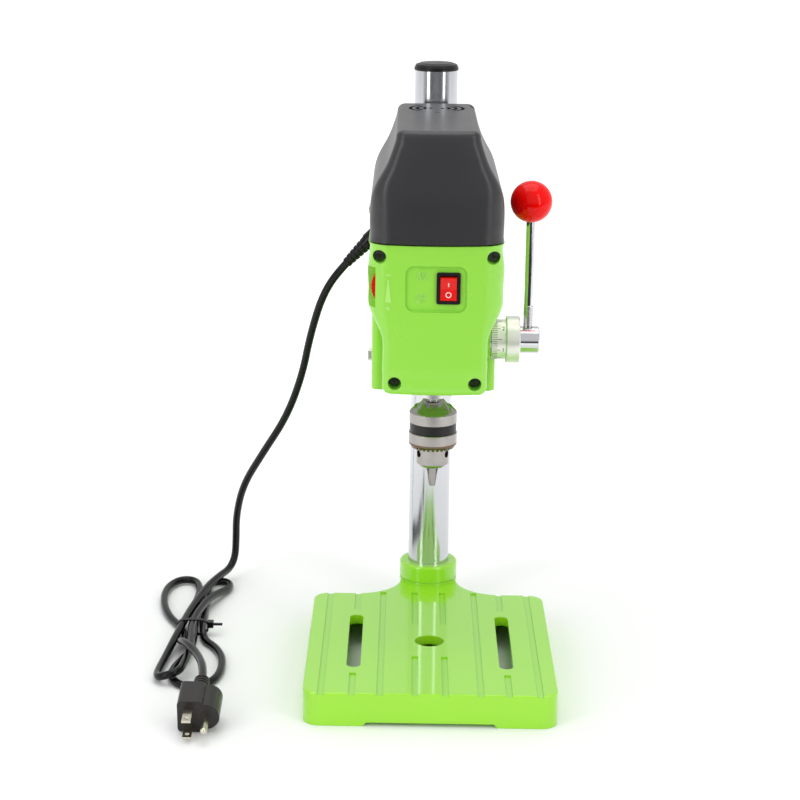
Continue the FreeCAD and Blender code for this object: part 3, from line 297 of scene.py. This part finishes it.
def band(shape, a, b):
    """Faces between two closed rings of as many vertices."""
    for k in range(len(a)):
        after = (k + 1) % len(a)
        shape.faces.new((a[k], a[after], b[after], b[k]))


def sweep(name, points, radii, sides):
    """Tube along points, its radius given at each; the ends are closed."""
    shape = bmesh.new()
    rings = []
    side = None
    for i, point in enumerate(points):
        ahead = points[min(i + 1, len(points) - 1)]
        behind = points[max(i - 1, 0)]
        along = (ahead - behind).normalized()
        if side is None:
            side = along.orthogonal().normalized()
        side = (side - along * side.dot(along)).normalized()
        other = along.cross(side)
        rings.append([shape.verts.new(point + radii[i] * (math.cos(turn) * side + math.sin(turn) * other))
                      for turn in turns(sides)])
    for a, b in zip(rings, rings[1:]):
        band(shape, a, b)
    shape.faces.new(list(reversed(rings[0])))
    shape.faces.new(rings[-1])
    mesh = mesh_of_shape(name, shape)
    smooth(mesh)
    return mesh


def letters(name, text, size, depth):
    """Mesh of a word, centred, drawn in the XY plane."""
    curve = bpy.data.curves.new(name, "FONT")
    curve.body = text
    curve.size = size
    curve.align_x = "CENTER"
    curve.align_y = "CENTER"
    curve.extrude = depth
    curve.resolution_u = LETTER_STEPS
    return mesh_of_curve(name, curve)


# Materials

def linear(red, green, blue):
    """Linear colour of a screen colour given in 0 to 255."""
    out = []
    for value in (red, green, blue):
        share = value / 255
        out.append(share / 12.92 if share <= 0.04045 else ((share + 0.055) / 1.055) ** 2.4)
    return out


def start_material(name):
    made = bpy.data.materials.new(name)
    made.use_nodes = True
    tree = made.node_tree.nodes
    return made, tree, made.node_tree.links, tree["Principled BSDF"]


def finish(name, colour, rough, patch, patch_size, grain, grain_size=0.8, metallic=0.0, rough_by=0.05,
           rough_size=6, stretch=(1, 1, 1), edge=0.4, coat=0.0, specular=0.5, foot=None):
    """Procedural finish: uneven colour and roughness, a fine grain as bump and softly rounded edges.

    Sizes are in millimetres; stretch scales the grain along X, Y and Z for turned or brushed surfaces.
    foot is another colour and the height in millimetres below which it shows."""
    made, tree, links, shader = start_material(name)
    shader.inputs["Metallic"].default_value = metallic
    shader.inputs["Coat Weight"].default_value = coat
    shader.inputs["Coat Roughness"].default_value = COAT_ROUGH
    shader.inputs["Specular IOR Level"].default_value = specular
    place = tree.new("ShaderNodeTexCoord")

    def noise(size, detail, scale=(1, 1, 1)):
        spread = tree.new("ShaderNodeMapping")
        spread.inputs["Scale"].default_value = scale
        links.new(place.outputs["Object"], spread.inputs["Vector"])
        texture = tree.new("ShaderNodeTexNoise")
        texture.inputs["Scale"].default_value = 1 / (size * MM)
        texture.inputs["Detail"].default_value = detail
        links.new(spread.outputs["Vector"], texture.inputs["Vector"])
        return texture.outputs["Fac"]

    tones = tree.new("ShaderNodeValToRGB")
    tones.color_ramp.interpolation = "EASE"
    darker, lighter = tones.color_ramp.elements
    darker.position, lighter.position = NOISE_SPAN
    darker.color = [c * (1 - patch) for c in linear(*colour)] + [1]
    lighter.color = [min(c * (1 + patch), 1) for c in linear(*colour)] + [1]
    links.new(noise(patch_size, PATCH_DETAIL), tones.inputs["Fac"])
    colour_out = tones.outputs["Color"]
    # foot colour below a height: on the chuck sleeve, real oily brown plus painted shade of the tooth gaps
    if foot:
        oily_and_shaded_colour, foot_height = foot
        height = tree.new("ShaderNodeSeparateXYZ")
        links.new(place.outputs["Object"], height.inputs[0])
        below = tree.new("ShaderNodeMapRange")
        below.inputs["From Min"].default_value = (foot_height + FOOT_BLUR) * MM
        below.inputs["From Max"].default_value = (foot_height - FOOT_BLUR) * MM
        links.new(height.outputs["Z"], below.inputs["Value"])
        blend = tree.new("ShaderNodeMix")
        blend.data_type = "RGBA"
        blend.inputs["B"].default_value = linear(*oily_and_shaded_colour) + [1]
        links.new(below.outputs["Result"], blend.inputs["Factor"])
        links.new(colour_out, blend.inputs["A"])
        colour_out = blend.outputs["Result"]
    links.new(colour_out, shader.inputs["Base Color"])

    gloss = tree.new("ShaderNodeMapRange")
    gloss.inputs["From Min"].default_value, gloss.inputs["From Max"].default_value = NOISE_SPAN
    gloss.inputs["To Min"].default_value = max(rough - rough_by, LEAST_ROUGH)
    gloss.inputs["To Max"].default_value = rough + rough_by
    links.new(noise(rough_size, GLOSS_DETAIL, stretch), gloss.inputs["Value"])
    links.new(gloss.outputs["Result"], shader.inputs["Roughness"])

    rounded = tree.new("ShaderNodeBevel")
    rounded.samples = EDGE_SAMPLES
    rounded.inputs["Radius"].default_value = edge * MM
    bump = tree.new("ShaderNodeBump")
    bump.inputs["Strength"].default_value = 1.0
    bump.inputs["Distance"].default_value = grain * MM
    links.new(noise(grain_size, GRAIN_DETAIL, stretch), bump.inputs["Height"])
    links.new(rounded.outputs["Normal"], bump.inputs["Normal"])
    links.new(bump.outputs["Normal"], shader.inputs["Normal"])
    return made


def finish_nodes(finishes):
    """Gives every CAD node its finish."""
    done = set()
    for finish_name, members in FINISHED_NODES.items():
        for name in members.split():
            done.add(name)
            for slot in nodes[name].material_slots:
                slot.material = finishes[finish_name]
    missed = set(nodes) - done
    if missed:
        raise ValueError("nodes without a finish: " + ", ".join(sorted(missed)))


# Cord

def cord_curve(name, bevel):
    points = [Vector(p) * MM for p in CORD_DOWN + CORD_IN + CORD_BACK + CORD_FLOOR + CORD_LOOP + CORD_OUT]
    curve = bpy.data.curves.new(name, "CURVE")
    curve.dimensions = "3D"
    spline = curve.splines.new("NURBS")
    spline.points.add(len(points) - 1)
    for spot, point in zip(spline.points, points):
        spot.co = (*point, 1)
    spline.order_u = 3
    spline.use_endpoint_u = True
    spline.resolution_u = CORD_STEPS
    curve.bevel_depth = bevel
    curve.bevel_resolution = CORD_ROUND
    curve.use_fill_caps = bevel > 0
    return mesh_of_curve(name, curve)


def cord(rubber):
    """The whole cord, the bundle that lies beside the base, its tie and the relief at the housing."""
    path = [v.co.copy() for v in cord_curve("cord_line", 0).vertices]
    tube = cord_curve("cord", CORD_D / 2)
    smooth(tube)
    piece = add_object("cord", tube, None, rubber)
    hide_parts("cord_tube", "cord_tail", "cord_hank")
    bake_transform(piece)
    tie = cable_tie(rubber)
    relief = strain_relief(path, rubber)


def strain_relief(path, rubber):
    """Ribbed sleeve that tapers along the first stretch of the cord."""
    points = []
    radii = []
    gone = 0.0
    for a, b in zip(path, path[1:]):
        for k in range(RELIEF_STEPS):
            done = gone + (b - a).length * k / RELIEF_STEPS
            if done > RELIEF_LENGTH:
                break
            radius = RELIEF_R - RELIEF_TAPER * done / RELIEF_LENGTH
            if done > RELIEF_COLLAR and done % RIB_PITCH < RIB_GROOVE:
                radius -= RIB_DEPTH
            points.append(a.lerp(b, k / RELIEF_STEPS))
            radii.append(radius)
        gone += (b - a).length
    mesh = sweep("strain_relief", points, radii, RELIEF_SIDES)
    return add_object("strain_relief", mesh, "head_unit", rubber)


def squared(value):
    """A sine or cosine pushed outwards, which turns an oval into a rounded rectangle."""
    return math.copysign(abs(value) ** TIE_SQUARENESS, value)


def cable_tie(rubber):
    """Flat strap round the bundle with its square head and cut tail."""
    shape = bmesh.new()
    rings = []
    for turn in turns(TIE_SIDES):
        x = TIE_X + TIE_HALF_W * squared(math.cos(turn))
        z = TIE_TOP / 2 + (TIE_TOP / 2 - TIE_GAP) * squared(math.sin(turn))
        out = Vector((math.cos(turn), 0, math.sin(turn)))
        rings.append([shape.verts.new(Vector((x, TIE_Y + across * MM, z)) - out * inwards * MM)
                      for across, inwards in STRAP_SECTION])
    for a, b in zip(rings, rings[1:] + rings[:1]):
        band(shape, a, b)
    for low, high in (TIE_HEAD, TIE_TAIL):
        corners = [shape.verts.new(Vector((x, y, z)) * MM + Vector((0, TIE_Y, 0)))
                   for x in (low[0], high[0]) for y in (low[1], high[1]) for z in (low[2], high[2])]
        for loop in BLOCK_FACES:
            shape.faces.new([corners[i] for i in loop])
    bmesh.ops.recalc_face_normals(shape, faces=shape.faces)
    tie = add_object("tie", mesh_of_shape("tie", shape), "column_unit", rubber)
    soften = tie.modifiers.new("soften", "BEVEL")
    soften.width = TIE_EDGE
    soften.segments = TIE_EDGE_STEPS
    soften.limit_method = "ANGLE"
    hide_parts("cable_tie")
    return tie


# Marks

def drum_point(x, arc):
    """Point just off the drum, arc being the way round it upwards from its front."""
    angle = arc / DRUM_R
    radius = DRUM_R + MARK_LIFT
    return Vector((x, FEED_Y - radius * math.cos(angle), FEED_Z + radius * math.sin(angle)))


def mark_arc(count):
    """Where on the drum the mark of so many millimetres of feed is."""
    return (count - FACING_MARK) * MARK_STEP + FACING_ARC


def tick_length(count):
    if count % 10 == 0:
        return TICK_AT_TEN
    if count % 5 == 0:
        return TICK_AT_FIVE
    return TICK_AT_ONE


def dial_marks(black):
    """Millimetre ticks round the drum, with a number for every centimetre of feed."""
    shape = bmesh.new()
    for count in range(TICK_COUNT):
        right = DRUM_LEFT + tick_length(count)
        low, high = mark_arc(count) - TICK_HALF_W, mark_arc(count) + TICK_HALF_W
        corners = ((DRUM_LEFT, low), (right, low), (right, high), (DRUM_LEFT, high))
        shape.faces.new([shape.verts.new(drum_point(x, arc)) for x, arc in corners])
    for number in range(NUMBER_COUNT):
        glyph = letters("glyph", str(number), NUMBER_SIZE, 0)
        spots = [shape.verts.new(drum_point(DRUM_LEFT + NUMBER_X + v.co.x, mark_arc(number * 10) + v.co.y))
                 for v in glyph.vertices]
        for face in glyph.polygons:
            shape.faces.new([spots[i] for i in face.vertices])
        bpy.data.meshes.remove(glyph)
    add_object("dial_marks", mesh_of_shape("dial_marks", shape), "dial_unit", black)


def panel_words(green):
    """ON and OFF raised from the floor of the switch panel."""
    upright = Matrix.Rotation(math.pi / 2, 4, "X") @ Matrix.Diagonal(WORD_STRETCH)
    for word, z in WORD_Z.items():
        mesh = letters("word_" + word, word, WORD_SIZE, WORD_DEPTH)
        mesh.transform(Matrix.Translation((WORD_X, PANEL_FLOOR_Y - WORD_PROUD, z)) @ upright)
        add_object("word_" + word, mesh, "head_unit", green)


def front_of(node, x, z):
    """How far forward a node's surface is at x and z."""
    hit, place, _, _ = nodes[node].ray_cast(Vector((x, PROBE_Y, z)), Vector((0, 1, 0)))
    if not hit:
        raise ValueError("nothing to mark on " + node)
    return place.y


def plate_on(name, node, outline, proud, body, material):
    """Thin plate that follows the front of a node, its outline given as left and right x for each z."""
    shape = bmesh.new()
    shares = [k / PLATE_STEPS for k in range(PLATE_STEPS + 1)]
    rows = []
    for (z0, l0, r0), (z1, l1, r1) in zip(outline, outline[1:]):
        for up in shares:
            left, right = l0 + (l1 - l0) * up, r0 + (r1 - r0) * up
            rows.append([(left + (right - left) * j / PLATE_STEPS, z0 + (z1 - z0) * up)
                         for j in range(PLATE_STEPS + 1)])
    for lift in (proud, -PLATE_SUNK):
        grid = [[shape.verts.new((x, front_of(node, x, z) - lift, z)) for x, z in row] for row in rows]
        for a, b in zip(grid, grid[1:]):
            for k in range(PLATE_STEPS):
                shape.faces.new((a[k], a[k + 1], b[k + 1], b[k]))
    bmesh.ops.remove_doubles(shape, verts=shape.verts, dist=PLATE_WELD)
    bmesh.ops.bridge_loops(shape, edges=[e for e in shape.edges if e.is_boundary])
    bmesh.ops.recalc_face_normals(shape, faces=shape.faces)
    add_object(name, mesh_of_shape(name, shape), body, material)


def icon_plate(name, foot, tip, proud, green):
    """Raised plate of the speed icon, its foot and tip each a height and half a width."""
    outline = [(z, ICON_X - half, ICON_X + half) for z, half in (foot, tip)]
    plate_on("icon_" + name, "front_shell", outline, proud, "head_unit", green)


def speed_icon(green):
    """Minus, a wedge that widens downwards and plus, raised beside the speed wheel."""
    for name, z in (("minus", MINUS_Z), ("plus", PLUS_Z)):
        icon_plate(name, (z - SIGN_HALF_THICK, SIGN_HALF_LONG), (z + SIGN_HALF_THICK, SIGN_HALF_LONG),
                   ICON_PROUD, green)
    icon_plate("upright", (PLUS_Z - SIGN_HALF_LONG, SIGN_HALF_THICK),
               (PLUS_Z + SIGN_HALF_LONG, SIGN_HALF_THICK), UPRIGHT_PROUD, green)
    icon_plate("wedge", WEDGE_FOOT, WEDGE_TIP, ICON_PROUD, green)


def rocker_marks(white):
    """A bar on the upper flat of the rocker and a ring on the lower one."""
    outline = [(ROCKER_Z + z, ROCKER_X - BAR_HALF_W, ROCKER_X + BAR_HALF_W) for z in (BAR_FOOT, BAR_HEAD)]
    plate_on("mark_I", "rocker", outline, ROCKER_PROUD, "rocker_unit", white)
    shape = bmesh.new()
    rings = []
    for radius in RING_RADII:
        ring = []
        for turn in turns(RING_SIDES):
            x = ROCKER_X + radius * math.cos(turn)
            z = ROCKER_Z - RING_DOWN + radius * math.sin(turn)
            ring.append(shape.verts.new((x, front_of("rocker", x, z) - ROCKER_PROUD, z)))
        rings.append(ring)
    band(shape, *rings)
    add_object("mark_O", mesh_of_shape("mark_O", shape), "rocker_unit", white)


# Studio

def floor():
    """Pale floor that glows a little away from the machine, so that it fades into the backdrop."""
    mesh = bpy.data.meshes.new("floor")
    mesh.from_pydata(FLOOR_CORNERS, [], [(0, 1, 2, 3)])
    obj = bpy.data.objects.new("floor", mesh)
    bpy.context.scene.collection.objects.link(obj)
    made, tree, links, shader = start_material("floor_white")
    shader.inputs["Base Color"].default_value = FLOOR_COLOUR
    shader.inputs["Roughness"].default_value = FLOOR_ROUGH
    shader.inputs["Specular IOR Level"].default_value = FLOOR_SPECULAR
    shader.inputs["Emission Color"].default_value = GLOW_COLOUR
    place = tree.new("ShaderNodeTexCoord")
    reach = tree.new("ShaderNodeVectorMath")
    reach.operation = "LENGTH"
    glow = tree.new("ShaderNodeMapRange")
    glow.inputs["From Min"].default_value = GLOW_FROM
    glow.inputs["From Max"].default_value = GLOW_TO
    glow.inputs["To Max"].default_value = GLOW
    links.new(place.outputs["Object"], reach.inputs[0])
    links.new(reach.outputs["Value"], glow.inputs["Value"])
    links.new(glow.outputs["Result"], shader.inputs["Emission Strength"])
    mesh.materials.append(made)


def softbox(name, place, target, width, height, power):
    light = bpy.data.lights.new(name, "AREA")
    light.shape = "RECTANGLE"
    light.size = width
    light.size_y = height
    light.energy = power
    obj = bpy.data.objects.new(name, light)
    bpy.context.scene.collection.objects.link(obj)
    obj.location = place
    obj.rotation_euler = (Vector(target) - Vector(place)).to_track_quat("-Z", "Y").to_euler()


def surroundings():
    """White all round for the camera; reflections see a pale room that is dark low down in front."""
    world = bpy.data.worlds.new("studio")
    bpy.context.scene.world = world
    world.use_nodes = True
    tree = world.node_tree.nodes
    tree.clear()
    links = world.node_tree.links
    out = tree.new("ShaderNodeOutputWorld")
    place = tree.new("ShaderNodeTexCoord")
    parts = tree.new("ShaderNodeSeparateXYZ")
    links.new(place.outputs["Generated"], parts.inputs[0])

    def ramp(source, span):
        node = tree.new("ShaderNodeMapRange")
        node.interpolation_type = "SMOOTHSTEP"
        node.inputs["From Min"].default_value, node.inputs["From Max"].default_value = span
        links.new(source, node.inputs["Value"])
        return node.outputs["Result"]

    def background(strength):
        node = tree.new("ShaderNodeBackground")
        node.inputs["Strength"].default_value = strength
        return node

    dark = tree.new("ShaderNodeMath")
    dark.operation = "MULTIPLY"
    links.new(ramp(parts.outputs["Y"], DARK_FRONT), dark.inputs[0])
    links.new(ramp(parts.outputs["Z"], DARK_LOW), dark.inputs[1])
    shade = tree.new("ShaderNodeMix")
    shade.data_type = "RGBA"
    shade.inputs["A"].default_value = ROOM_PALE
    shade.inputs["B"].default_value = ROOM_DARK
    links.new(dark.outputs[0], shade.inputs["Factor"])
    room = background(ROOM_STRENGTH)
    links.new(shade.outputs["Result"], room.inputs["Color"])
    backdrop = background(BACKDROP_STRENGTH)
    backdrop.inputs["Color"].default_value = BACKDROP_COLOUR
    path = tree.new("ShaderNodeLightPath")
    mix = tree.new("ShaderNodeMixShader")
    links.new(path.outputs["Is Camera Ray"], mix.inputs[0])
    links.new(room.outputs[0], mix.inputs[1])
    links.new(backdrop.outputs[0], mix.inputs[2])
    links.new(mix.outputs[0], out.inputs["Surface"])


def camera():
    yaw, pitch, roll = (math.radians(a) for a in (CAMERA_YAW, CAMERA_PITCH, CAMERA_ROLL))
    ahead = Vector((math.sin(yaw) * math.cos(pitch), math.cos(yaw) * math.cos(pitch), -math.sin(pitch)))
    level = Vector((math.cos(yaw), -math.sin(yaw), 0))
    upright = level.cross(ahead)
    right = math.cos(roll) * level + math.sin(roll) * upright
    up = math.cos(roll) * upright - math.sin(roll) * level
    lens = bpy.data.cameras.new("camera")
    lens.lens = CAMERA_LENS
    lens.sensor_width = CAMERA_SENSOR
    lens.shift_x = CAMERA_SHIFT
    lens.clip_end = CAMERA_REACH
    obj = bpy.data.objects.new("camera", lens)
    bpy.context.scene.collection.objects.link(obj)
    turned = Matrix((right, up, -ahead)).transposed().to_4x4()
    obj.matrix_world = Matrix.Translation(CAMERA_AT) @ turned
    bpy.context.scene.camera = obj


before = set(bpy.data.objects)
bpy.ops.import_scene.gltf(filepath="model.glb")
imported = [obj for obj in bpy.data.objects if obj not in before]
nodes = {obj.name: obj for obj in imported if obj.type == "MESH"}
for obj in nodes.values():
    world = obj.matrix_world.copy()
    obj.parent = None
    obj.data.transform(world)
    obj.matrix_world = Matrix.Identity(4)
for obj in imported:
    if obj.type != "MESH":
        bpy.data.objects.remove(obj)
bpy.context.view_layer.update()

camera()
surroundings()
floor()
for settings in SOFTBOXES:
    softbox(*settings)
bpy.context.scene.view_settings.view_transform = "Standard"

finishes = {name: finish(name, **values) for name, values in FINISHES.items()}
finish_nodes(finishes)
cord(finishes["cord_rubber"])
dial_marks(finishes["mark_black"])
# the raised words and speed icon take the paler green, a painted highlight
panel_words(finishes["painted_highlight_green"])
speed_icon(finishes["painted_highlight_green"])
rocker_marks(finishes["mark_white"])
